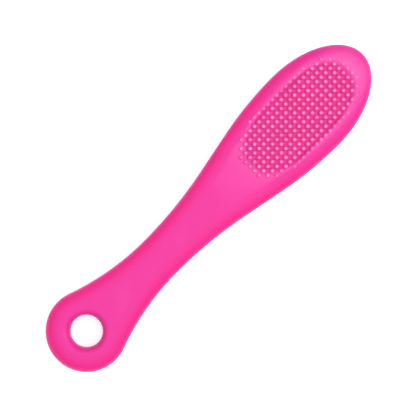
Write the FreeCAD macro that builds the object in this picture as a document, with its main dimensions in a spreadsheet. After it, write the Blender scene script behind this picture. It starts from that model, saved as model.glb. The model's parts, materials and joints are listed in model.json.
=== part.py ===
import FreeCAD, Part
import math
import os

import Sketcher

# A finger toothbrush for pets, moulded in soft silicone.
# The brush is drawn in its own flat frame and laid down at the end: X runs from the hanging
# hole (X = 0) to the head, Y across, and Z from the sole's back (Z = 0) to the nub side.

DIMENSIONS = {
    # plan outline
    "eye_radius": 10.0,
    "hole_radius": 3.9,
    "waist_place": 25.5,
    "waist_half": 5.55,
    "waist_radius": 110.0,
    "head_place": 75.4,
    "head_half": 11.55,
    "head_radius": 90.0,
    "tip_reach": 19.7,
    # thickness
    "thickness": 5.0,
    "edge_round": 2.0,
    "hole_round": 1.2,
    # where the moulding is divided into pieces
    "eye_end": 8.0,
    "flex_place": 30.0,
    "heel_place": 53.5,
    # the bend of the handle
    "flex_gap": 0.3,
    "flex_up": 50.0,
    "flex_margin": 7.0,
    # nub bed
    "field_place": 73.05,
    "bed_radius": 8.8,
    "bed_straight": 18.8,
    "recess_depth": 1.8,
    "bed_thickness": 0.9,
    # nubs
    "nub_pitch": 1.52,
    "nub_base_radius": 0.55,
    "nub_tip_radius": 0.42,
    "nub_height": 1.3,
    "nub_round": 0.3,
    "field_half_rows": 11.5,
    "field_half_columns": 5.6,
    "field_squareness": 2.6,
    # finger hood
    "hood_inset": 1.0,
    "hood_height": 12.0,
    "hood_wall": 1.4,
    "hood_round": 5.0,
    "hood_back": 50.0,
    "mouth_place": 54.5,
    "mouth_slope": 26.0,
    "bead_width": 2.4,
    "bead_proud": 0.8,
}

QUARTER = math.pi / 2
UP = FreeCAD.Vector(0, 0, 1)
ACROSS = FreeCAD.Vector(0, 1, 0)
REACH = 200.0    # length of a cutter that only has to pass right through the brush
CLOSE = 1e-4     # lengths nearer than this are equal
ORIGIN = (-1, 1)    # a sketch's own origin, as the sketcher numbers it
EYE_ARC = 0      # the outline's first curve
TIP_ARC = 1      # the outline's second curve

doc = FreeCAD.newDocument("pet_finger_toothbrush")
sheet = doc.addObject("Spreadsheet::Sheet", "dims")
for row, (alias, value) in enumerate(DIMENSIONS.items(), start=1):
    sheet.set(f"A{row}", alias)
    sheet.set(f"B{row}", str(value))
    sheet.setAlias(f"B{row}", alias)
doc.recompute()


def size(alias):
    """A driving dimension, read from the sheet."""
    return float(sheet.get(alias))


def bind(item, **expressions):
    """Tie properties of an object to expressions of the sheet's cells."""
    for prop, expression in expressions.items():
        item.setExpression(prop.replace("__", "."), expression)


# ---------------------------------------------------------------- sketches

def add_sketch(body, name):
    """An empty sketch on the body's own XY plane."""
    plane = next(item for item in body.Origin.OriginFeatures if item.Role == "XY_Plane")
    sketch = body.newObject("Sketcher::SketchObject", name)
    sketch.AttachmentSupport = (plane, [""])
    sketch.MapMode = "FlatFace"
    return sketch


def constrain(sketch, name, expression, *constraint):
    """Add a named dimension to a sketch and tie it to an expression."""
    number = sketch.addConstraint(Sketcher.Constraint(*constraint))
    sketch.renameConstraint(number, name)
    sketch.setExpression("Constraints." + name, expression)


def arc(centre_x, centre_y, radius, start, end):
    """A circular arc, counter-clockwise from the angle start to the angle end."""
    centre = FreeCAD.Vector(centre_x, centre_y, 0)
    return Part.ArcOfCircle(Part.Circle(centre, UP, radius), start, end)


def flank_angle(waist, head, waist_radius, head_radius):
    """Slope of the straight flank that is tangent to the waist's arc and the head's arc."""
    run = head[0] - waist[0]
    rise = head[1] - waist[1]
    total = waist_radius + head_radius
    slope = rise / run
    for _ in range(40):
        level = rise - total * (1 - math.cos(slope))
        slope = math.atan2(level, run - total * math.sin(slope))
    return slope


def mirrored_arc(side, centre_x, centre_y, radius, start, end):
    """An arc of the brush's left side, or its mirror image on the right side."""
    if side > 0:
        return arc(centre_x, centre_y, radius, start, end)
    return arc(centre_x, -centre_y, radius, -end, -start)


def join(sketch, kind, *ends):
    """Add a constraint that has no size."""
    sketch.addConstraint(Sketcher.Constraint(kind, *ends))


def draw_side(sketch, side, waist, head, radii, angles):
    """One long side of the outline: grip, waist, straight flank and cheek, tangent to each other."""
    grip_radius, waist_radius, head_radius = radii
    eye_angle, slope = angles
    grip_start = eye_angle - 2 * QUARTER
    grip_centre = waist[1] + grip_radius
    neck_centre = waist[1] + waist_radius
    cheek_centre = head[1] - head_radius
    curves = (
        mirrored_arc(side, waist[0], grip_centre, grip_radius, grip_start, -QUARTER),
        mirrored_arc(side, waist[0], neck_centre, waist_radius, -QUARTER, slope - QUARTER),
        mirrored_arc(side, head[0], cheek_centre, head_radius, QUARTER, QUARTER + slope),
    )
    grip, neck, cheek = [sketch.addGeometry(curve, False) for curve in curves]
    end_point = "EndPoint" if side > 0 else "StartPoint"
    ends = [getattr(sketch.Geometry[number], end_point) for number in (neck, cheek)]
    flank = sketch.addGeometry(Part.LineSegment(*ends), False)
    first, last = (1, 2) if side > 0 else (2, 1)
    join(sketch, "Tangent", grip, last, neck, first)
    join(sketch, "Tangent", neck, last, flank, 1)
    join(sketch, "Tangent", flank, 2, cheek, last)
    join(sketch, "Vertical", grip, 3, neck, 3)
    join(sketch, "Tangent", EYE_ARC, first, grip, first)
    join(sketch, "Tangent", cheek, first, TIP_ARC, last)
    join(sketch, "Vertical", cheek, 3, TIP_ARC, 3)
    return neck, cheek


def draw_outline(sketch, inset):
    """The brush in plan, drawn inside its true outline by the expression inset."""
    step = float(sketch.evalExpression(inset))
    eye = size("eye_radius") - step
    tip = size("tip_reach") - step
    waist = (size("waist_place"), size("waist_half") - step)
    head = (size("head_place"), size("head_half") - step)
    waist_radius = size("waist_radius") + step
    head_radius = size("head_radius") - step
    grip_radius = (waist[0] ** 2 + waist[1] ** 2 - eye ** 2) / (2 * (eye - waist[1]))
    eye_angle = math.atan2(waist[1] + grip_radius, waist[0])
    slope = flank_angle(waist, head, waist_radius, head_radius)

    sketch.addGeometry(arc(0, 0, eye, eye_angle, 4 * QUARTER - eye_angle), False)
    ellipse = Part.Ellipse(FreeCAD.Vector(head[0], 0, 0), tip, head[1])
    sketch.addGeometry(Part.ArcOfEllipse(ellipse, -QUARTER, QUARTER), False)
    radii = (grip_radius, waist_radius, head_radius)
    angles = (eye_angle, slope)
    neck, cheek = draw_side(sketch, 1, waist, head, radii, angles)
    neck_twin, cheek_twin = draw_side(sketch, -1, waist, head, radii, angles)

    join(sketch, "Coincident", EYE_ARC, 3, *ORIGIN)
    join(sketch, "Symmetric", neck, 3, neck_twin, 3, -1)
    join(sketch, "Equal", neck, neck_twin)
    join(sketch, "Equal", cheek, cheek_twin)
    join(sketch, "PointOnObject", TIP_ARC, 3, -1)
    long_axis = len(sketch.Geometry)
    sketch.exposeInternalGeometry(TIP_ARC)
    join(sketch, "Horizontal", long_axis)
    dimensions = (
        ("eye_radius", f"dims.eye_radius - ({inset})", "Radius", EYE_ARC, eye),
        ("waist_place", "dims.waist_place", "DistanceX", *ORIGIN, neck, 3, waist[0]),
        ("waist_half", f"dims.waist_half - ({inset})", "DistanceY", *ORIGIN, neck, 1, waist[1]),
        ("waist_radius", f"dims.waist_radius + {inset}", "Radius", neck, waist_radius),
        ("head_place", "dims.head_place", "DistanceX", *ORIGIN, TIP_ARC, 3, head[0]),
        ("head_half", f"dims.head_half - ({inset})", "DistanceY", *ORIGIN, TIP_ARC, 2, head[1]),
        ("head_radius", f"dims.head_radius - ({inset})", "Radius", cheek, head_radius),
        ("tip_length", f"2 * (dims.tip_reach - ({inset}))", "Distance", long_axis, 2 * tip),
    )
    for dimension in dimensions:
        constrain(sketch, *dimension)


def draw_rear(sketch):
    """A rectangle over the part of the outline that the hood doesn't cover."""
    left = -2 * size("eye_radius")
    right = size("hood_back")
    half = 2 * size("head_half")
    corners = ((left, -half), (right, -half), (right, half), (left, half))
    points = [FreeCAD.Vector(x, y, 0) for x, y in corners]
    for start, end in zip(points, points[1:] + points[:1]):
        sketch.addGeometry(Part.LineSegment(start, end), False)
    for edge, kind in enumerate(("Horizontal", "Vertical") * 2):
        join(sketch, kind, edge)
        join(sketch, "Coincident", edge, 2, (edge + 1) % 4, 1)
    constrain(sketch, "right", "dims.hood_back", "DistanceX", *ORIGIN, 1, 1, right)
    constrain(sketch, "left", "-2 * dims.eye_radius", "DistanceX", *ORIGIN, 0, 1, left)
    constrain(sketch, "low", "-2 * dims.head_half", "DistanceY", *ORIGIN, 0, 1, -half)
    constrain(sketch, "high", "2 * dims.head_half", "DistanceY", *ORIGIN, 2, 1, half)


def draw_slot(sketch):
    """The slot-shaped plan of the nub bed: two straight sides and two round ends."""
    place = size("field_place")
    half = size("bed_straight") / 2
    radius = size("bed_radius")
    right = sketch.addGeometry(arc(place + half, 0, radius, -QUARTER, QUARTER), False)
    left = sketch.addGeometry(arc(place - half, 0, radius, QUARTER, 3 * QUARTER), False)
    upper = (FreeCAD.Vector(place + half, radius, 0), FreeCAD.Vector(place - half, radius, 0))
    lower = (FreeCAD.Vector(place - half, -radius, 0), FreeCAD.Vector(place + half, -radius, 0))
    top = sketch.addGeometry(Part.LineSegment(*upper), False)
    bottom = sketch.addGeometry(Part.LineSegment(*lower), False)
    loop = (right, top, left, bottom)
    for before, after in zip(loop, loop[1:] + loop[:1]):
        join(sketch, "Tangent", before, 2, after, 1)
    join(sketch, "PointOnObject", right, 3, -1)
    join(sketch, "PointOnObject", left, 3, -1)
    right_place = "dims.field_place + dims.bed_straight / 2"
    left_place = "dims.field_place - dims.bed_straight / 2"
    constrain(sketch, "right_place", right_place, "DistanceX", *ORIGIN, right, 3, place + half)
    constrain(sketch, "left_place", left_place, "DistanceX", *ORIGIN, left, 3, place - half)
    constrain(sketch, "radius", "dims.bed_radius", "Radius", right, radius)


# ---------------------------------------------------------------- solids

def edges_where(shape, test):
    """Names of the edges that pass a test."""
    return [f"Edge{number}" for number, edge in enumerate(shape.Edges, start=1) if test(edge)]


def lies_level(edge, height):
    """Whether an edge lies flat at a height."""
    middle = edge.valueAt((edge.FirstParameter + edge.LastParameter) / 2)
    heights = [vertex.Z for vertex in edge.Vertexes] + [middle.z]
    return all(abs(z - height) < CLOSE for z in heights)


def is_circle(edge, radius):
    """Whether an edge is an arc or circle of a radius."""
    return hasattr(edge.Curve, "Radius") and abs(edge.Curve.Radius - radius) < CLOSE


def round_edges(body, name, edges, radius):
    """A PartDesign fillet whose radius is tied to the sheet."""
    base = body.Tip
    fillet = body.newObject("PartDesign::Fillet", name)
    fillet.Base = (base, edges)
    bind(fillet, Radius=radius)
    doc.recompute()


def moulding_blank():
    """The whole flat moulding, eye to tip, with its edges rounded and its hanging hole."""
    body = doc.addObject("PartDesign::Body", "moulding_blank")
    outline = add_sketch(body, "outline")
    draw_outline(outline, "0")
    hole = outline.addGeometry(Part.Circle(FreeCAD.Vector(), UP, size("hole_radius")), False)
    join(outline, "Coincident", hole, 3, *ORIGIN)
    constrain(outline, "hole", "dims.hole_radius", "Radius", hole, size("hole_radius"))
    pad = body.newObject("PartDesign::Pad", "slab")
    pad.Profile = outline
    bind(pad, Length="dims.thickness")
    doc.recompute()

    def on_a_face(edge):
        return lies_level(edge, 0) or lies_level(edge, size("thickness"))

    def round_the_hole(edge):
        return on_a_face(edge) and is_circle(edge, size("hole_radius"))

    def round_the_outline(edge):
        flared = size("hole_radius") + size("hole_round")
        return on_a_face(edge) and not is_circle(edge, flared)

    round_edges(body, "hole_edges", edges_where(pad.Shape, round_the_hole), "dims.hole_round")
    round_edges(body, "outer_edges", edges_where(body.Tip.Shape, round_the_outline), "dims.edge_round")
    return body


def hood_form(name, inset, height, crown_round):
    """A solid dome under the head: the brush's outline, inset, with a rounded crown."""
    body = doc.addObject("PartDesign::Body", name)
    outline = add_sketch(body, name + "_outline")
    draw_outline(outline, inset)
    pad = body.newObject("PartDesign::Pad", name + "_dome")
    pad.Profile = outline
    pad.Reversed = True
    bind(pad, Length=height)
    rear = add_sketch(body, name + "_rear")
    draw_rear(rear)
    cut = body.newObject("PartDesign::Pocket", name + "_handle_side")
    cut.Profile = rear
    cut.Type = "ThroughAll"
    cut.Midplane = True
    doc.recompute()
    depth = float(pad.Length)

    def crown(edge):
        farthest = max(vertex.X for vertex in edge.Vertexes)
        return lies_level(edge, -depth) and farthest > size("hood_back") + CLOSE

    round_edges(body, name + "_crown", edges_where(cut.Shape, crown), crown_round)
    return body


def box_zone(name, start, end):
    """A box across the whole brush between two X places, given as expressions."""
    box = doc.addObject("Part::Box", name)
    box.Width = REACH
    box.Height = REACH
    box.Placement.Base = FreeCAD.Vector(0, -REACH / 2, -REACH / 2)
    bind(box, Length=f"({end}) - ({start})", Placement__Base__x=start)
    return box


def tilted_cutter(name, pivot, angle, corner):
    """A large box with one corner near the pivot, pitched about it by an angle in degrees."""
    box = doc.addObject("Part::Box", name)
    box.Length = REACH
    box.Width = REACH
    box.Height = REACH
    turn = FreeCAD.Rotation(ACROSS, angle)
    box.Placement = FreeCAD.Placement(pivot + turn.multVec(corner), turn)
    return box


def mouth_side(name, place):
    """Everything on the handle's side of a sloping plane that meets the sole's back at place."""
    pivot = FreeCAD.Vector(place, 0, 0)
    corner = FreeCAD.Vector(-REACH, -REACH / 2, -REACH / 2)
    return tilted_cutter(name, pivot, -size("mouth_slope"), corner)


def combine(kind, name, base, tool):
    """A Part boolean of two objects."""
    result = doc.addObject("Part::" + kind, name)
    result.Base = base
    result.Tool = tool
    return result


# ---------------------------------------------------------------- the handle and the sole

def flex_cylinder(name, radius):
    """A cylinder across the brush on the axis that the handle bends about."""
    cylinder = doc.addObject("Part::Cylinder", name)
    cylinder.Height = REACH
    cylinder.Placement = FreeCAD.Placement(
        FreeCAD.Vector(0, REACH / 2, 0),
        FreeCAD.Rotation(FreeCAD.Vector(1, 0, 0), 90),
    )
    bind(
        cylinder,
        Radius=radius,
        Placement__Base__x="dims.flex_place",
        Placement__Base__z="dims.thickness / 2",
    )
    return cylinder


def make_hanging_eye(blank):
    """The round tail with the hanging hole."""
    zone = box_zone("eye_zone", "-2 * dims.eye_radius", "dims.eye_end")
    return combine("Common", "hanging_eye", blank, zone)


def make_handle_grip(blank):
    """The waisted grip, which ends in a full round on the bending axis."""
    zone = box_zone("grip_zone", "dims.eye_end", "dims.flex_place")
    nose = flex_cylinder("grip_nose", "dims.thickness / 2")
    return combine("Common", "handle_grip", blank, combine("Fuse", "grip_form", zone, nose))


def make_neck(blank):
    """The neck: a seat round the grip's nose, opened on the nub side for the upward bend."""
    zone = box_zone("neck_zone", "dims.flex_place", "dims.heel_place")
    seat = flex_cylinder("neck_seat", "dims.thickness / 2 + dims.flex_gap")
    pivot = FreeCAD.Vector(size("flex_place"), 0, size("thickness") / 2)
    opening = 90 - size("flex_up") - size("flex_margin")
    corner = FreeCAD.Vector(-REACH / 2, -REACH / 2, 0)
    notch = tilted_cutter("neck_notch", pivot, -opening, corner)
    length = combine("Common", "neck_length", blank, zone)
    return combine("Cut", "neck", length, combine("Fuse", "neck_cutter", seat, notch))


def slot_plate(name, length):
    """A slot-shaped plate that stands on the floor of the sole's recess."""
    body = doc.addObject("PartDesign::Body", name)
    plan = add_sketch(body, name + "_plan")
    draw_slot(plan)
    pad = body.newObject("PartDesign::Pad", name + "_pad")
    pad.Profile = plan
    bind(pad, Length=length)
    bind(body, Placement__Base__z="dims.thickness - dims.recess_depth")
    return body


def make_head_sole(blank):
    """The thick oval sole, with the recess that the nubs stand in."""
    zone = box_zone("sole_zone", "dims.heel_place", "dims.head_place + 2 * dims.tip_reach")
    recess = slot_plate("sole_recess", "dims.thickness")
    return combine("Cut", "head_sole", combine("Common", "sole_length", blank, zone), recess)


def make_nub_bed():
    """The thin bed at the bottom of the sole's recess."""
    plate = slot_plate("bed_plate", "dims.bed_thickness")
    bed = doc.addObject("Part::Compound", "nub_bed")
    bed.Links = [plate]
    return bed


def nub_form():
    """One nub on the origin: a short cone with a rounded tip."""
    cone = doc.addObject("Part::Cone", "nub_cone")
    bind(
        cone,
        Radius1="dims.nub_base_radius",
        Radius2="dims.nub_tip_radius",
        Height="dims.nub_height",
    )
    doc.recompute()
    tips = edges_where(cone.Shape, lambda edge: lies_level(edge, size("nub_height")))
    nub = doc.addObject("Part::Fillet", "nub")
    nub.Base = cone
    nub.Edges = [(int(tip[4:]), size("nub_round"), size("nub_round")) for tip in tips]
    doc.recompute()
    return nub


def nub_places():
    """Grid places of the nubs, kept where they fall inside a field with round corners."""
    rows = int(size("field_half_rows"))
    columns = int(size("field_half_columns"))
    power = size("field_squareness")
    pitch = size("nub_pitch")
    foot = size("thickness") - size("recess_depth") + size("bed_thickness")
    for column in range(-columns, columns + 1):
        for row in range(-rows, rows + 1):
            along = abs(row) / size("field_half_rows")
            across = abs(column) / size("field_half_columns")
            if along ** power + across ** power < 1:
                yield FreeCAD.Vector(size("field_place") + row * pitch, column * pitch, foot)


def make_cleaning_nubs():
    """The nubs, all alike, one group of separate solids."""
    nub = nub_form()
    nubs = doc.addObject("Part::Feature", "cleaning_nubs")
    nubs.Shape = Part.makeCompound([nub.Shape.translated(place) for place in nub_places()])
    return nubs


# ---------------------------------------------------------------- the hood

def make_finger_hood(outer, mouth):
    """The thin-walled hood, open towards the handle through its sloping mouth."""
    cavity = hood_form(
        "hood_cavity",
        "dims.hood_inset + dims.hood_wall",
        "dims.hood_height - dims.hood_wall",
        "dims.hood_round - dims.hood_wall",
    )
    shell = combine("Cut", "hood_shell", outer, cavity)
    return combine("Cut", "finger_hood", shell, mouth)


def make_hood_rim_bead(outer, mouth):
    """The bead that stands out round the hood's mouth."""
    proud = hood_form(
        "bead_form",
        "dims.hood_inset - dims.bead_proud",
        "dims.hood_height + dims.bead_proud",
        "dims.hood_round + dims.bead_proud",
    )
    beyond = mouth_side("beyond_bead", size("mouth_place") + size("bead_width"))
    band = combine("Cut", "bead_band", combine("Common", "bead_reach", proud, beyond), mouth)
    return combine("Cut", "hood_rim_bead", band, outer)


def turned(shapes, angle):
    """The pieces in one compound, pitched about Y so that the head rises by the angle."""
    group = Part.makeCompound(shapes)
    group.Placement = FreeCAD.Placement(FreeCAD.Vector(), FreeCAD.Rotation(ACROSS, -angle))
    return group.optimalBoundingBox(False, False)


def rest_angle(tail_shapes, hood_shapes):
    """Pitch in degrees at which the tail and the hood's rim both touch one plane."""
    angle = 0.0
    for _ in range(30):
        gap = turned(tail_shapes, angle).ZMin - turned(hood_shapes, angle).ZMin
        if abs(gap) < CLOSE:
            break
        angle += math.degrees(gap / size("head_place"))
    return angle


def lie_down(pieces, tail, hood):
    """Lay the brush on its tail and its hood's rim, nub side up, centred over the origin."""
    angle = rest_angle([tail.Shape], [piece.Shape for piece in hood])
    box = turned([piece.Shape for piece in pieces], angle)
    middle = (box.XMin + box.XMax) / 2
    turn = FreeCAD.Rotation(ACROSS, -angle)
    rest = FreeCAD.Placement(FreeCAD.Vector(-middle, 0, -box.ZMin), turn)
    for piece in pieces:
        piece.Placement = rest
    return rest


def check(items):
    """Stop if any object of the document failed."""
    for item in items:
        if "Invalid" in item.State or "Error" in item.State:
            raise RuntimeError(f"{item.Name} failed: {item.State}")


blank = moulding_blank()
hood_outer = hood_form("hood_outer", "dims.hood_inset", "dims.hood_height", "dims.hood_round")
mouth = mouth_side("hood_mouth", size("mouth_place"))
pieces = [
    make_hanging_eye(blank),
    make_handle_grip(blank),
    make_neck(blank),
    make_head_sole(blank),
    make_nub_bed(),
    make_cleaning_nubs(),
    make_finger_hood(hood_outer, mouth),
    make_hood_rim_bead(hood_outer, mouth),
]
doc.recompute()
check(doc.Objects)
rest = lie_down(pieces, tail=pieces[0], hood=pieces[-2:])
doc.recompute()
check(doc.Objects)

os.makedirs("parts", exist_ok=True)
for piece in pieces:
    if piece.Shape.isNull() or not piece.Shape.isValid():
        raise RuntimeError(f"{piece.Label} has no valid shape")
    print(piece.Label, len(piece.Shape.Solids), round(piece.Shape.Volume, 2), piece.Shape.BoundBox)
    piece.Shape.exportStep(f"parts/{piece.Label}.step")
print("lie-down", rest)
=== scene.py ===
import json
import math
import random

import bpy
import numpy as np
from mathutils import Matrix, Vector


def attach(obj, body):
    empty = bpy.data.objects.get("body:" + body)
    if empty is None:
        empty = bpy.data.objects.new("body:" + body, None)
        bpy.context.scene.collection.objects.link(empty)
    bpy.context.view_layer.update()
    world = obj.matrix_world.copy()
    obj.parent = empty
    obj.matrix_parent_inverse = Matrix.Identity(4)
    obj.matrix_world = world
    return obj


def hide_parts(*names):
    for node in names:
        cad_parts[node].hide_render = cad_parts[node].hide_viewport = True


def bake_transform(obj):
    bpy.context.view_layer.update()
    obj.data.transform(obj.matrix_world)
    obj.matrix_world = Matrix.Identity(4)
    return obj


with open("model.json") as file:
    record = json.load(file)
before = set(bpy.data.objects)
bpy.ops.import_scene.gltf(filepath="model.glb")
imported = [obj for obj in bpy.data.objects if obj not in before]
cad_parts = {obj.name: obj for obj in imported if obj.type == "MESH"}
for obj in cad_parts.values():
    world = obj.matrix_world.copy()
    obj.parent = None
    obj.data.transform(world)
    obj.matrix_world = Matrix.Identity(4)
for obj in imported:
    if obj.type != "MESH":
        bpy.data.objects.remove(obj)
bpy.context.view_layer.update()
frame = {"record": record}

# The brush is shaped in its own flat frame, in millimetres: X from the hanging hole to the head,
# Y across, Z from the sole's back to the nub side. PLACE carries it to where the CAD lies.
MM = 0.001

# plan outline
EYE_RADIUS = 10.0
HOLE_RADIUS = 3.9
WAIST_X = 25.5
WAIST_HALF = 5.55      # half-width at the narrowest place
WAIST_RADIUS = 110.0
HEAD_X = 75.4
HEAD_HALF = 11.55
HEAD_RADIUS = 90.0
TIP_REACH = 19.7       # from the head's widest place to its end

# cross-section
HALF_THICK = 2.5
EDGE_REACH = 4.6       # how far in from the outline the faces are still rounding off
HOLE_REACH = 2.0       # and how far round the hole
SECTION_POWER = 2.4    # exponent of the superellipse that the edges follow

# nub field
FIELD_X = 73.05
FIELD_LENGTH = 17.2    # half-lengths of the dished bed
FIELD_WIDTH = 7.95
FIELD_POWER = 2.6
BED_DEPTH = 0.8
BED_WALL = 1.1         # width of the bed's sloping wall
NECK_DIP = 0.45        # the neck's surface falls this much to meet the bed
NECK_FALL = (46.0, 55.0)    # start and end, along the brush, of the neck's way down
NECK_RISE = (57.5, 64.5)    # and of its way back up beside the bed
NUB_PITCH = 1.52
NUB_FOOT = 4.25        # height of a nub's foot above the sole's back
NUB_HEIGHT = 1.05
NUB_RADIUS = 0.5
NUB_FLARE = 0.2        # the foot is this much wider than the shaft
NUB_FLARE_FADE = 0.13  # height over which the flare dies away
NUB_RINGS = (-0.25, 0.0, 0.08, 0.2, 0.38)     # heights of the points on foot and shaft
NUB_TURNS = (0, 20, 40, 58, 75)               # degrees up the rounded top
NUB_SIDES = 14
NUB_CROWN = 0.5        # height of the rounded top
NUB_SINK = 0.05        # the nubs on the bed's wall stand this much lower
FIELD_ROWS = 11.5      # half the field's size, in nub pitches
FIELD_COLUMNS = 5.6

# hood
HOOD_INSET = 1.0       # the hood's edge lies this far in from the sole's
HOOD_HEIGHT = 12.0
HOOD_WALL = 1.4
CROWN_REACH = 7.0      # how far in from the hood's edge its back is still rounding off
CROWN_POWER = 2.3
CROWN_SHARE = 0.6      # the pocket's crown loses this much of the wall's thickness in reach
TOE_START = 77.0       # the hood's back slopes down from here to its toe
TOE_END = 97.0
TOE_POWERS = (2.2, 0.55)
MOUTH_X = 54.5
MOUTH_SLOPE = math.radians(26)
BEAD_MIDDLE = 1.2      # distance of the bead from the mouth's edge
BEAD_RADIUS = 1.0
BEAD_SINK = 0.2
BEAD_FILLET = 0.35
LIP_ROUND = 0.5
SHELL_ROUND = 0.2
HOOD_TOP = 1.6         # the hood ends this high inside the sole

# colour tone, from 0 for the deepest pink to 1 for the palest; it carries painted shade on edges and
# in hollows and painted highlights on the rim and nub tips
# painted shade on the rounded edges: their tone
TONE_EDGE_SHADE = 0.24
END_PAINTED_LIGHT = 0.3         # painted light: the edge's painted shade round the head's tip is this much paler
TONE_BODY = 0.5
TONE_SHAFT = 0.58      # nubs, below their tips
TONE_BED_SHADE = 0.02        # painted shade: the bed and the pocket are this much deeper
TONE_RIM_HIGHLIGHT = 0.155       # painted highlight: the rim round the bed is this much paler
# painted highlight on the nub tips: their tone
TONE_TIP_HIGHLIGHT = 1.0
OUTER_HIGHLIGHT_SHARE = 0.7   # share of that painted highlight that the nubs outside the bed have
EDGE_SHADE_REACH = 4.5       # how far in from the outline the edge's painted shade fades out
HIGHLIGHT_START = 0.5         # height on a nub where its painted highlight starts
HIGHLIGHT_SPREAD = 0.12      # the tips' painted highlights differ this much from each other, up or down
RIM_HIGHLIGHT_ALONG = (42.0, 72.0)    # start and end, along the brush, of the rim's painted highlight
RIM_HIGHLIGHT_INSET = (0.5, 5.0)      # and the same inwards from the outline
END_LIGHT_ALONG = (66.0, 94.0)    # where the edge turns to its paler tone round the tip, as painted light

# display colours, 0 to 255, at the tones 0, MIDDLE_TONE and 1: painted shade, the body's own pink,
# painted highlight
SHADE_PINK = (230, 22, 109)
MIDDLE_PINK = (215, 46, 138)
HIGHLIGHT_PINK = (250, 132, 196)
MIDDLE_TONE = 0.54

# search for a point's distance from the outline
OUTERMOST = -3.0
INNERMOST = HEAD_HALF - 0.3
HALVINGS = 22

# spacing of the mesh's points
SKIN_CELL = 0.32
HOOD_CELL = 0.39


# ---------------------------------------------------------------- frame

def brush_place():
    """Matrix from the brush's own millimetres to the row frame, read from the hanging hole."""
    hole = next(m for m in frame["record"]["mounts"] if m["name"] == "hang_hole")
    up = Vector(hole["axis"]).normalized()
    along = Vector((up.z, 0, -up.x))
    across = up.cross(along)
    turn = Matrix((along, across, up)).transposed().to_4x4()
    lift = Matrix.Translation((0, 0, -HALF_THICK))
    return Matrix.Translation(hole["pos_m"]) @ turn @ Matrix.Scale(MM, 4) @ lift


PLACE = brush_place()


def to_row(x, y, z):
    """A point of the brush's own frame, in the row frame."""
    return PLACE @ Vector((x, y, z))


# ---------------------------------------------------------------- outline

def flank_slope():
    """Slope of the straight flank tangent to the waist's arc and the cheek's arc."""
    run = HEAD_X - WAIST_X
    rise = HEAD_HALF - WAIST_HALF
    total = WAIST_RADIUS + HEAD_RADIUS
    slope = rise / run
    for _ in range(40):
        slope = math.atan2(rise - total * (1 - math.cos(slope)), run - total * math.sin(slope))
    return slope


SLOPE = flank_slope()
GRIP_RADIUS = (WAIST_X ** 2 + WAIST_HALF ** 2 - EYE_RADIUS ** 2) / (2 * (EYE_RADIUS - WAIST_HALF))
EYE_ANGLE = math.atan2(WAIST_HALF + GRIP_RADIUS, WAIST_X)


def root(value):
    """Square root, or -1 where there is none."""
    return np.where(value > 0, np.sqrt(np.maximum(value, 0)), -1.0)


def half_width(x, inset):
    """Half-width of the outline, moved in by inset, at a place along the brush."""
    waist_end = WAIST_X + (WAIST_RADIUS + inset) * math.sin(SLOPE)
    cheek_start = HEAD_X - (HEAD_RADIUS - inset) * math.sin(SLOPE)
    cheek_low = HEAD_HALF - HEAD_RADIUS + (HEAD_RADIUS - inset) * math.cos(SLOPE)
    eye = root((EYE_RADIUS - inset) ** 2 - x ** 2)
    grip = WAIST_HALF + GRIP_RADIUS - root((GRIP_RADIUS + inset) ** 2 - (x - WAIST_X) ** 2)
    waist = WAIST_HALF + WAIST_RADIUS - root((WAIST_RADIUS + inset) ** 2 - (x - WAIST_X) ** 2)
    flank = cheek_low + (x - cheek_start) * math.tan(SLOPE)
    cheek = HEAD_HALF - HEAD_RADIUS + root((HEAD_RADIUS - inset) ** 2 - (x - HEAD_X) ** 2)
    tip = (HEAD_HALF - inset) * root(1 - ((x - HEAD_X) / (TIP_REACH - inset)) ** 2)
    ends = [(EYE_RADIUS - inset) * math.cos(EYE_ANGLE), WAIST_X, waist_end, cheek_start, HEAD_X]
    return np.select([x < end for end in ends], [eye, grip, waist, flank, cheek], tip)


def edge_depth(x, y):
    """How far in from the outline a point is; negative outside it."""
    low = np.full(np.broadcast(x, y).shape, OUTERMOST)
    high = np.full(low.shape, INNERMOST)
    for _ in range(HALVINGS):
        middle = (low + high) / 2
        inside = half_width(x, middle) > np.abs(y)
        low = np.where(inside, middle, low)
        high = np.where(inside, high, middle)
    return low


# ---------------------------------------------------------------- mesh from a field

def surface_net(field, low, high, cell):
    """Points and faces of the surface where a field is zero; the field is negative inside."""
    low = np.array(low, float)
    axes = [np.arange(a, b + cell, cell) for a, b in zip(low, high)]
    value = field(*np.meshgrid(*axes, indexing="ij", sparse=True))
    inside = value < 0
    shape = [size - 1 for size in value.shape]

    def corner(array, place):
        return array[tuple(slice(start, start + size) for start, size in zip(place, shape))]

    corners = [tuple(place) for place in np.ndindex(2, 2, 2)]
    filled = sum(corner(inside, place).astype(int) for place in corners)
    mixed = (filled > 0) & (filled < len(corners))
    number = np.full(shape, -1)
    number[mixed] = np.arange(mixed.sum())
    total = np.zeros((mixed.sum(), 3))
    hits = np.zeros(mixed.sum())
    for place in corners:
        for axis in range(3):
            if place[axis]:
                continue
            step = np.eye(3, dtype=int)[axis]
            near = corner(value, place)[mixed]
            far = corner(value, tuple(place + step))[mixed]
            crossed = (near < 0) != (far < 0)
            part = near[crossed] / (near - far)[crossed]
            total[crossed] += place + part[:, None] * step
            hits += crossed
    points = low + cell * (np.argwhere(mixed) + total / hits[:, None])

    faces = []
    for axis in range(3):
        side, other = np.eye(3, dtype=int)[(axis + 1) % 3], np.eye(3, dtype=int)[(axis + 2) % 3]
        change = np.diff(inside.astype(int), axis=axis)
        for sign in (1, -1):
            start = np.argwhere(change == sign)
            ring = [start, start - side, start - side - other, start - other]
            quads = np.stack([number[tuple(cells.T)] for cells in ring], axis=1)
            faces.append(quads if sign < 0 else quads[:, ::-1])
    return points, np.concatenate(faces)


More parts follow.
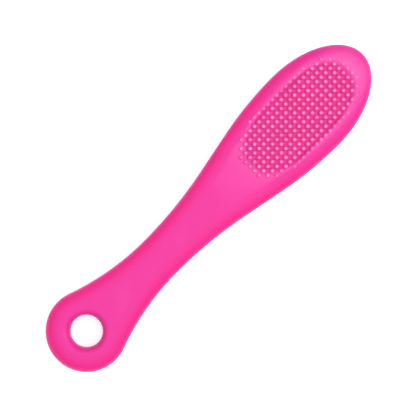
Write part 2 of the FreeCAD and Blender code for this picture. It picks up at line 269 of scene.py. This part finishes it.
def settle(points, field, limit):
    """Move points onto the surface where a field is zero, by at most a limit each time."""
    step = 0.01
    for _ in range(3):
        value = field(*points.T)
        ahead = [field(*(points + step * axis).T) for axis in np.eye(3)]
        slope = np.stack([(there - value) / step for there in ahead], axis=1)
        move = -slope * (value / np.maximum((slope ** 2).sum(axis=1), 1e-9))[:, None]
        length = np.linalg.norm(move, axis=1)
        points = points + move * np.minimum(1, limit / np.maximum(length, 1e-9))[:, None]
    return points


def add_mesh(name, points, faces, tone):
    """A smooth-shaded object from points in the brush's own frame, each with its colour tone."""
    mesh = bpy.data.meshes.new(name)
    mesh.from_pydata([tuple(point) for point in points], [], [tuple(face) for face in faces])
    mesh.attributes.new("tone", "FLOAT", "POINT").data.foreach_set("value", list(tone))
    mesh.transform(PLACE)
    mesh.polygons.foreach_set("use_smooth", [True] * len(mesh.polygons))
    mesh.update()
    piece = bpy.data.objects.new(name, mesh)
    bpy.context.scene.collection.objects.link(piece)
    return piece


def mesh_from_field(name, field, tone, low, high, cell):
    """An object whose surface is where a field is zero, with a colour tone for each point."""
    points, faces = surface_net(field, low, high, cell)
    points = settle(points, field, cell / 2)
    return add_mesh(name, points.tolist(), faces.tolist(), tone(*points.T).tolist())


# ---------------------------------------------------------------- shapes

def smooth(value):
    """A value between 0 and 1, eased so that both ends are level."""
    value = np.clip(value, 0, 1)
    return value * value * (3 - 2 * value)


def ramp(value, start, end):
    """A smooth ramp from 0 at the start to 1 at the end."""
    return smooth((value - start) / (end - start))


def superellipse(*terms, power):
    """Zero on the surface where the terms, each 1 at its own limit, run into each other."""
    return sum(np.maximum(term, 0) ** power for term in terms) ** (1 / power) - 1


def dish(x, y):
    """1 in the dished bed, 0 outside it, and between them on its sloping wall."""
    off_centre = np.abs(x - FIELD_X) / FIELD_LENGTH, np.abs(y) / FIELD_WIDTH
    reach = sum(part ** FIELD_POWER for part in off_centre) ** (1 / FIELD_POWER)
    return smooth((1 - reach) * FIELD_WIDTH / BED_WALL)


def bed_dip(x, y):
    """How far the nub side lies below its full height: the dished bed, and the dip before it."""
    bed = dish(x, y)
    neck = ramp(x, *NECK_FALL) * (1 - ramp(x, *NECK_RISE))
    return BED_DEPTH * bed + NECK_DIP * neck * (1 - bed)


def skin_field(x, y, z):
    """Handle, eye and sole: a rounded slab with the hanging hole and the dished bed."""
    edge = 1 - edge_depth(x, y) / EDGE_REACH
    hole = 1 - (np.hypot(x, y) - HOLE_RADIUS) / HOLE_REACH
    height = z - HALF_THICK
    upper = height / (HALF_THICK - bed_dip(x, y))
    face = np.where(height > 0, upper, -height / HALF_THICK)
    return superellipse(edge, hole, face, power=SECTION_POWER)


def round_max(first, second, blend):
    """The larger of two fields, with the corner between them rounded."""
    return (first + second + np.sqrt((first - second) ** 2 + blend ** 2)) / 2


def round_min(first, second, blend):
    """The smaller of two fields, with the corner between them filled."""
    return -round_max(-first, -second, blend)


def dome(x, inset, drop, wall):
    """Distance, in about millimetres, outside the hood's outer surface moved in by wall."""
    toe = np.clip((x - TOE_START) / (TOE_END - TOE_START), 0, 0.99)
    height = HOOD_HEIGHT * (1 - toe ** TOE_POWERS[0]) ** TOE_POWERS[1] - wall
    reach = CROWN_REACH - wall * CROWN_SHARE
    edge = np.maximum(1 - (inset - wall) / reach, 0)
    crown = np.maximum(drop / height, 0)
    value = superellipse(edge, crown, power=CROWN_POWER)
    scale = (value + 1.001) ** (CROWN_POWER - 1)
    slope = np.hypot(edge ** (CROWN_POWER - 1) / reach, crown ** (CROWN_POWER - 1) / height) / scale
    return value / np.maximum(slope, 1 / HOOD_HEIGHT)


def hood_field(x, y, z):
    """The hood's shell, with its sloping mouth and the bead round it."""
    inset = edge_depth(x, y) - HOOD_INSET
    outer = dome(x, inset, -z, 0)
    inner = dome(x, inset, -z, HOOD_WALL)
    mouth = (x - MOUTH_X) * math.cos(MOUTH_SLOPE) + z * math.sin(MOUTH_SLOPE)
    shell = round_max(round_max(outer, -inner, SHELL_ROUND), -mouth, LIP_ROUND)
    bead = np.hypot(outer + BEAD_SINK, mouth - BEAD_MIDDLE) - BEAD_RADIUS
    return round_max(round_min(shell, bead, BEAD_FILLET), z - HOOD_TOP, SHELL_ROUND)


def skin_tone(x, y, z):
    """The skin's colour, with painted shade on its rounded edges and in the bed, a little lighter
    round the head's tip as painted light, and a painted highlight on the head's rim.
    """
    inset = edge_depth(x, y)
    # the dished bed gets painted shade
    bed = dish(x, y) * (z > HALF_THICK)
    # painted highlight on the rim round the bed
    rim = ramp(x, *RIM_HIGHLIGHT_ALONG) * ramp(inset, *RIM_HIGHLIGHT_INSET) * (z > HALF_THICK) * (1 - bed)
    # painted shade on the edges, fading out inwards and lighter round the head's tip
    edge = TONE_EDGE_SHADE + END_PAINTED_LIGHT * ramp(x, *END_LIGHT_ALONG)
    face = edge + (TONE_BODY - edge) * smooth(inset / EDGE_SHADE_REACH)
    return face + TONE_RIM_HIGHLIGHT * rim - TONE_BED_SHADE * bed


def hood_tone(x, y, z):
    """The hood's colour is even, and a little deeper inside its pocket as painted shade."""
    inset = edge_depth(x, y) - HOOD_INSET
    return TONE_BODY - TONE_BED_SHADE * (dome(x, inset, -z, HOOD_WALL / 2) < 0)


def make_skin():
    """The one-piece silicone skin of eye, handle, neck and sole."""
    low = (-EYE_RADIUS - 1, -HEAD_HALF - 1, -1)
    high = (HEAD_X + TIP_REACH + 1, HEAD_HALF + 1, 2 * HALF_THICK + 1)
    skin = mesh_from_field("silicone_skin", skin_field, skin_tone, low, high, SKIN_CELL)
    skin.data.materials.append(silicone("silicone_satin", 0.25))
    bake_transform(skin)
    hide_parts("hanging_eye", "handle_grip", "neck", "head_sole", "nub_bed")


def make_hood():
    """The finger hood on the back of the head."""
    low = (MOUTH_X - 3, -HEAD_HALF - 2, -HOOD_HEIGHT - 3)
    high = (HEAD_X + TIP_REACH + 2, HEAD_HALF + 2, 4)
    hood = mesh_from_field("hood_skin", hood_field, hood_tone, low, high, HOOD_CELL)
    hood.data.materials.append(silicone("silicone_hood", 0.25))
    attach(hood, "head")
    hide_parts("finger_hood", "hood_rim_bead")


def nub_places():
    """Grid places of the nubs, kept where they fall inside a field with round corners."""
    columns = int(FIELD_COLUMNS)
    rows = int(FIELD_ROWS)
    for column in range(-columns, columns + 1):
        for row in range(-rows, rows + 1):
            along = abs(row) / FIELD_ROWS
            across = abs(column) / FIELD_COLUMNS
            if along ** FIELD_POWER + across ** FIELD_POWER < 1:
                yield FIELD_X + row * NUB_PITCH, column * NUB_PITCH


def nub_profile():
    """Radius and height of a nub's rings: a flared foot, a shaft and a round tip."""
    for height in NUB_RINGS:
        yield NUB_RADIUS + NUB_FLARE * math.exp(-max(height, 0) / NUB_FLARE_FADE), height
    for turn in NUB_TURNS:
        angle = math.radians(turn)
        rise = NUB_CROWN * math.sin(angle)
        yield NUB_RADIUS * math.cos(angle), NUB_HEIGHT - NUB_CROWN + rise


def nub_tone(height, tip):
    """A nub's colour tone, which turns paler near its tip as a painted highlight."""
    pale = min(max((height - HIGHLIGHT_START) / (NUB_HEIGHT - HIGHLIGHT_START), 0), 1)
    return TONE_SHAFT + (tip - TONE_SHAFT) * pale


def nub_points(x, y, foot):
    """Points of one nub, ring by ring from the foot up, and then the top."""
    for radius, height in nub_profile():
        for side in range(NUB_SIDES):
            angle = math.tau * side / NUB_SIDES
            yield x + radius * math.cos(angle), y + radius * math.sin(angle), foot + height
    yield x, y, foot + NUB_HEIGHT


def nub_faces(first):
    """Faces of one nub whose points start at a place in the list: a wall, a top and a bottom."""
    sides = [(side, (side + 1) % NUB_SIDES) for side in range(NUB_SIDES)]
    rings = len(NUB_RINGS) + len(NUB_TURNS)
    for ring in range(first, first + (rings - 1) * NUB_SIDES, NUB_SIDES):
        for side, following in sides:
            yield ring + side, ring + following, ring + following + NUB_SIDES, ring + side + NUB_SIDES
    top = first + rings * NUB_SIDES
    last = top - NUB_SIDES
    for side, following in sides:
        yield last + side, last + following, top
    yield tuple(first + side for side in reversed(range(NUB_SIDES)))


def make_nubs():
    """All the cleaning nubs, as one piece of separate closed meshes."""
    chance = random.Random(4)
    points = []
    faces = []
    tone = []
    for x, y in nub_places():
        bed = float(dish(x, y))
        foot = NUB_FOOT - NUB_SINK * (1 - bed)
        # each nub's painted highlight, weaker outside the bed and differing a little at random
        paleness = OUTER_HIGHLIGHT_SHARE + (1 - OUTER_HIGHLIGHT_SHARE) * bed
        tip = TONE_BODY + (TONE_TIP_HIGHLIGHT - TONE_BODY) * paleness
        tip += chance.uniform(-HIGHLIGHT_SPREAD, HIGHLIGHT_SPREAD)
        nub = list(nub_points(x, y, foot))
        faces.extend(nub_faces(len(points)))
        points.extend(nub)
        tone.extend(nub_tone(z - foot, tip) for _, _, z in nub)
    nubs = add_mesh("nubs", points, faces, tone)
    nubs.data.materials.append(silicone("silicone_nubs", 0.0))
    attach(nubs, "head")
    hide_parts("cleaning_nubs")


# ---------------------------------------------------------------- materials

def linear(red, green, blue):
    """A display colour, 0 to 255, as the shader's linear colour."""
    channels = [value / 255 for value in (red, green, blue)]
    return [c / 12.92 if c < 0.04045 else ((c + 0.055) / 1.055) ** 2.4 for c in channels] + [1]


def add_node(tree, kind, **values):
    """A node with its properties or inputs set by name."""
    node = tree.nodes.new(kind)
    for name, value in values.items():
        if name in node.inputs:
            node.inputs[name].default_value = value
        else:
            setattr(node, name, value)
    return node


def silicone(name, subsurface):
    """Satin pink silicone: a little translucent, with faint mottling and a fine moulded grain, and
    with painted shade and painted highlights from its tone.
    """
    material = bpy.data.materials.new(name)
    material.use_nodes = True
    tree = material.node_tree
    shader = tree.nodes["Principled BSDF"]
    shader.inputs["Subsurface Weight"].default_value = subsurface
    shader.inputs["Subsurface Radius"].default_value = (1.0, 0.25, 0.45)
    shader.inputs["Subsurface Scale"].default_value = 0.0012
    shader.inputs["Specular Tint"].default_value = (1.0, 0.35, 0.9, 1)
    place = add_node(tree, "ShaderNodeTexCoord")
    mottle = add_node(tree, "ShaderNodeTexNoise", Scale=180.0, Detail=3.0, Roughness=0.5)
    tone = add_node(tree, "ShaderNodeAttribute", attribute_name="tone")
    mixed = add_node(tree, "ShaderNodeMath", operation="MULTIPLY_ADD")
    mixed.inputs[1].default_value = 0.08
    # the ramp turns the tone into colour: its deep end is painted shade, its pale end painted
    # highlight
    tint = add_node(tree, "ShaderNodeValToRGB")
    tint.color_ramp.elements[0].color = linear(*SHADE_PINK)
    tint.color_ramp.elements.new(MIDDLE_TONE).color = linear(*MIDDLE_PINK)
    tint.color_ramp.elements[2].color = linear(*HIGHLIGHT_PINK)
    gloss = add_node(tree, "ShaderNodeMapRange")
    gloss.inputs["To Min"].default_value = 0.40
    gloss.inputs["To Max"].default_value = 0.48
    grain = add_node(tree, "ShaderNodeTexNoise", Scale=3200.0, Detail=2.0)
    bump = add_node(tree, "ShaderNodeBump", Strength=0.12, Distance=0.00004)
    link = tree.links.new
    link(place.outputs["Object"], mottle.inputs["Vector"])
    link(place.outputs["Object"], grain.inputs["Vector"])
    link(mottle.outputs["Fac"], mixed.inputs[0])
    link(tone.outputs["Fac"], mixed.inputs[2])
    link(mixed.outputs["Value"], tint.inputs["Fac"])
    link(mottle.outputs["Fac"], gloss.inputs["Value"])
    link(grain.outputs["Fac"], bump.inputs["Height"])
    link(tint.outputs["Color"], shader.inputs["Base Color"])
    link(gloss.outputs["Result"], shader.inputs["Roughness"])
    link(bump.outputs["Normal"], shader.inputs["Normal"])
    return material


def floor_material():
    """Matt white paper with a faint tooth and a little light of its own."""
    material = bpy.data.materials.new("paper")
    material.use_nodes = True
    tree = material.node_tree
    shader = tree.nodes["Principled BSDF"]
    shader.inputs["Roughness"].default_value = 0.9
    shader.inputs["Emission Color"].default_value = (1, 1, 1, 1)
    shader.inputs["Emission Strength"].default_value = FLOOR_GLOW
    place = add_node(tree, "ShaderNodeTexCoord")
    tooth = add_node(tree, "ShaderNodeTexNoise", Scale=900.0, Detail=3.0)
    tint = add_node(tree, "ShaderNodeValToRGB")
    tint.color_ramp.elements[0].color = (0.86, 0.86, 0.86, 1)
    tint.color_ramp.elements[1].color = (0.9, 0.9, 0.9, 1)
    tree.links.new(place.outputs["Object"], tooth.inputs["Vector"])
    tree.links.new(tooth.outputs["Fac"], tint.inputs["Fac"])
    tree.links.new(tint.outputs["Color"], shader.inputs["Base Color"])
    return material


# ---------------------------------------------------------------- stage, light and camera

VIEW_X = 42.0                     # place on the brush at the middle of the picture
VIEW_Y = 0.15
VIEW_WIDTH = 101.2                # millimetres of the brush's plane across the picture
VIEW_TURN = math.radians(45.16)   # slope of the brush in the picture
LENS = 135.0
SENSOR = 36.0
LIGHT_AWAY = 0.5                  # metres from a light to the brush
FLOOR_HALF = 1.5                  # metres
FLOOR_GLOW = 0.42
SURROUND = 0.42                   # strength of the white surround's light


def make_floor():
    """A plain pale floor."""
    mesh = bpy.data.meshes.new("floor")
    signs = ((-1, -1), (1, -1), (1, 1), (-1, 1))
    corners = [(x * FLOOR_HALF, y * FLOOR_HALF, 0) for x, y in signs]
    mesh.from_pydata(corners, [], [(0, 1, 2, 3)])
    floor = bpy.data.objects.new("floor", mesh)
    bpy.context.scene.collection.objects.link(floor)
    floor.data.materials.append(floor_material())


def view_axes():
    """The picture's right, up and backward directions in the row frame."""
    turn = PLACE.to_3x3().normalized()
    along, across, back = turn.col[0], turn.col[1], turn.col[2]
    right = along * math.cos(VIEW_TURN) - across * math.sin(VIEW_TURN)
    up = along * math.sin(VIEW_TURN) + across * math.cos(VIEW_TURN)
    return right, up, back


def make_camera():
    """A long lens that looks straight at the nub side."""
    right, up, back = view_axes()
    data = bpy.data.cameras.new("camera")
    data.lens = LENS
    data.sensor_width = SENSOR
    distance = VIEW_WIDTH * MM * LENS / SENSOR
    target = to_row(VIEW_X, VIEW_Y, HALF_THICK)
    camera = bpy.data.objects.new("camera", data)
    place = Matrix((right, up, back)).transposed().to_4x4()
    place.translation = target + back * distance
    camera.matrix_world = place
    data.clip_start = 0.01
    data.clip_end = 10
    bpy.context.scene.collection.objects.link(camera)
    bpy.context.scene.camera = camera


def add_light(name, aim_x, right_part, up_part, back_part, size, power):
    """A square soft light that shines on a place along the brush, from a direction in the picture."""
    right, up, back = view_axes()
    middle = to_row(aim_x, 0, 0)
    direction = (right * right_part + up * up_part + back * back_part).normalized()
    data = bpy.data.lights.new(name, "AREA")
    data.size = size
    data.energy = power
    light = bpy.data.objects.new(name, data)
    light.location = middle + direction * LIGHT_AWAY
    light.rotation_mode = "QUATERNION"
    light.rotation_quaternion = direction.to_track_quat("Z", "Y")
    bpy.context.scene.collection.objects.link(light)


def make_world():
    """An even white surround."""
    world = bpy.data.worlds.new("surround")
    world.use_nodes = True
    background = world.node_tree.nodes["Background"]
    background.inputs["Color"].default_value = (1, 1, 1, 1)
    background.inputs["Strength"].default_value = SURROUND
    bpy.context.scene.world = world
    bpy.context.scene.view_settings.view_transform = "Standard"


make_camera()
make_world()
make_floor()
add_light("front", VIEW_X, 0.0, 0.0, 1.0, 0.6, 2.45)
add_light("side", HEAD_X, 0.75, 0.1, 0.9, 0.2, 0.85)
make_skin()
make_hood()
make_nubs()
